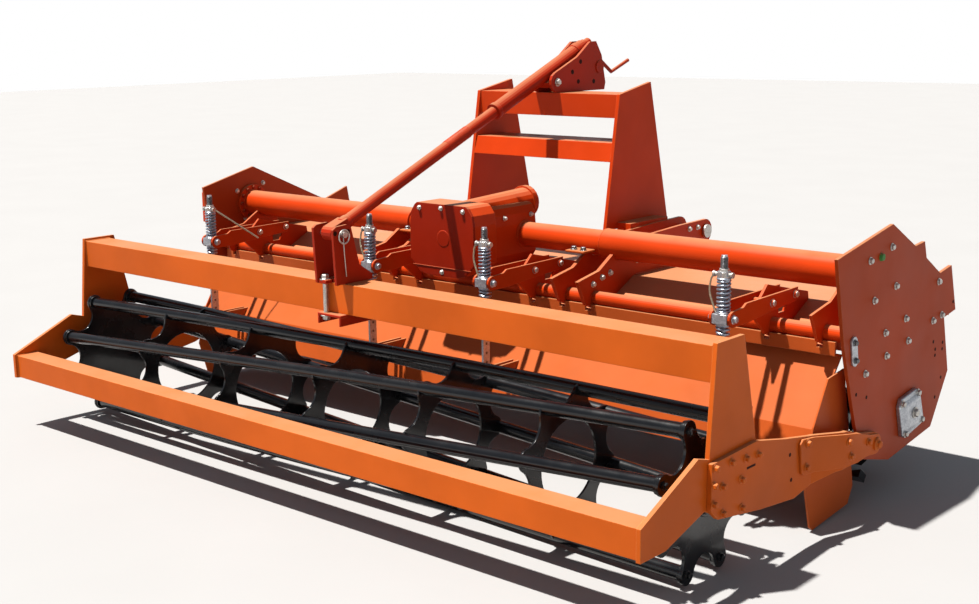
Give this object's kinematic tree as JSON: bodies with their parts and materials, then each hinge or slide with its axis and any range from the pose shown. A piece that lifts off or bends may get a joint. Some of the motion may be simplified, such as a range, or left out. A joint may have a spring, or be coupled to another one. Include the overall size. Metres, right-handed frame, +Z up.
{
  "type": "rotary tiller",
  "caption": "Tractor-mounted rotary tiller with a three-point headstock, gearbox, bladed rotor, hinged tailboard on sprung rods and a screw-set rear cage roller.",
  "frame": {"origin": "on the ground under the middle of the overall box", "axes": "+X the machine's right side, +Y to the tractor, +Z up"},
  "size_m": [3.31, 2.1368, 1.5502],
  "materials": {
    "tiller_paint": "satin red-orange paint",
    "frame_paint": "satin orange paint",
    "jack_paint": "satin dark red paint",
    "black_gloss": "gloss black paint",
    "zinc": "zinc plated, slightly dull"
  },
  "bodies": {
    "frame": {"side_plate_left": "tiller_paint", "side_plate_right": "tiller_paint", "side_rib_left": "tiller_paint", "side_rib_right": "tiller_paint", "main_tube_left": "tiller_paint", "main_tube_right": "tiller_paint", "hood": "tiller_paint", "hinge_tube": "tiller_paint", "drive_case": "tiller_paint", "bearing_cap": "zinc", "gearbox": "tiller_paint", "gearbox_cover": "tiller_paint", "headstock_plate_left": "tiller_paint", "headstock_plate_right": "tiller_paint", "headstock_top_beam": "tiller_paint", "headstock_lower_beam": "tiller_paint", "hitch_bracket_left": "tiller_paint", "hitch_bracket_right": "tiller_paint", "jack_yoke": "jack_paint", "rod_arm_1": "tiller_paint", "rod_arm_2": "tiller_paint", "rod_arm_3": "tiller_paint", "rod_arm_4": "tiller_paint"},
    "tailboard": {"tailboard": "tiller_paint", "skirt_left": "tiller_paint", "skirt_right": "tiller_paint"},
    "spring_packs": {"spring_pack_1": "zinc", "spring_pack_2": "zinc", "spring_pack_3": "zinc", "spring_pack_4": "zinc"},
    "spring_rods": {"spring_rod_1": "zinc", "spring_rod_2": "zinc", "spring_rod_3": "zinc", "spring_rod_4": "zinc"},
    "jack_barrel": {"jack_barrel": "jack_paint"},
    "jack_screw": {"jack_screw": "jack_paint"},
    "roller_frame": {"roller_beam": "frame_paint", "bumper_beam": "frame_paint", "jack_bracket": "jack_paint", "end_frame_left": "frame_paint", "end_frame_right": "frame_paint", "roller_arm_left": "frame_paint", "roller_arm_right": "frame_paint"},
    "roller": {"roller_bar_1": "black_gloss", "roller_bar_2": "black_gloss", "roller_bar_3": "black_gloss", "roller_bar_4": "black_gloss", "roller_bar_5": "black_gloss", "roller_bar_6": "black_gloss", "roller_bar_7": "black_gloss", "roller_bar_8": "black_gloss", "roller_ring_1": "black_gloss", "roller_ring_2": "black_gloss", "roller_ring_3": "black_gloss", "roller_ring_4": "black_gloss", "roller_ring_5": "black_gloss", "roller_disc_left": "black_gloss", "roller_disc_right": "black_gloss"},
    "rotor": {"rotor": "black_gloss"},
    "input_shaft": {"input_shaft": "black_gloss"}
  },
  "joints": [
    {"name": "tailboard_lift", "type": "hinge", "parent": "frame", "child": "tailboard", "pos_m": [0, 0.075, 0.619], "axis": [-1, 0, 0], "range_deg": [0, 15]},
    {"name": "trunnion_turn", "type": "hinge", "parent": "frame", "child": "spring_packs", "pos_m": [0, -0.235, 0.693], "axis": [-1, 0, 0], "range_deg": [-1, 14.1]},
    {"name": "rod_slide", "type": "slide", "parent": "spring_packs", "child": "spring_rods", "axis": [0, 0, 1], "range_m": [-0.005, 0.089], "deforming": ["spring_pack_1", "spring_pack_2", "spring_pack_3", "spring_pack_4"]},
    {"name": "roller_depth", "type": "hinge", "parent": "frame", "child": "roller_frame", "pos_m": [0, 0.195, 0.24], "axis": [1, 0, 0], "range_deg": [-8, 8]},
    {"name": "roller_spin", "type": "hinge", "parent": "roller_frame", "child": "roller", "pos_m": [0, -0.63, 0.257], "axis": [1, 0, 0], "continuous": true},
    {"name": "rotor_spin", "type": "hinge", "parent": "frame", "child": "rotor", "pos_m": [0, 0.489, 0.28], "axis": [1, 0, 0], "continuous": true},
    {"name": "input_spin", "type": "hinge", "parent": "frame", "child": "input_shaft", "pos_m": [0, 0.365, 0.904], "axis": [0, 1, 0], "continuous": true},
    {"name": "jack_swing", "type": "hinge", "parent": "frame", "child": "jack_barrel", "pos_m": [0, 0.501, 1.377], "axis": [1, 0, 0], "range_deg": [-4.5, 4.5]},
    {"name": "jack_travel", "type": "slide", "parent": "jack_barrel", "child": "jack_screw", "axis": [0, -0.9209, -0.3898], "range_m": [-0.14, 0.14]}
  ],
  "couplings": [
    {"joint": "trunnion_turn", "follows": "tailboard_lift", "ratio": 0.8763},
    {"joint": "rod_slide", "follows": "tailboard_lift", "m_per_rad": 0.3156},
    {"joint": "jack_swing", "follows": "roller_depth", "ratio": 0.4392},
    {"joint": "jack_travel", "follows": "roller_depth", "m_per_rad": 0.9469},
    {"joint": "input_spin", "follows": "rotor_spin", "ratio": 2.5}
  ]
}
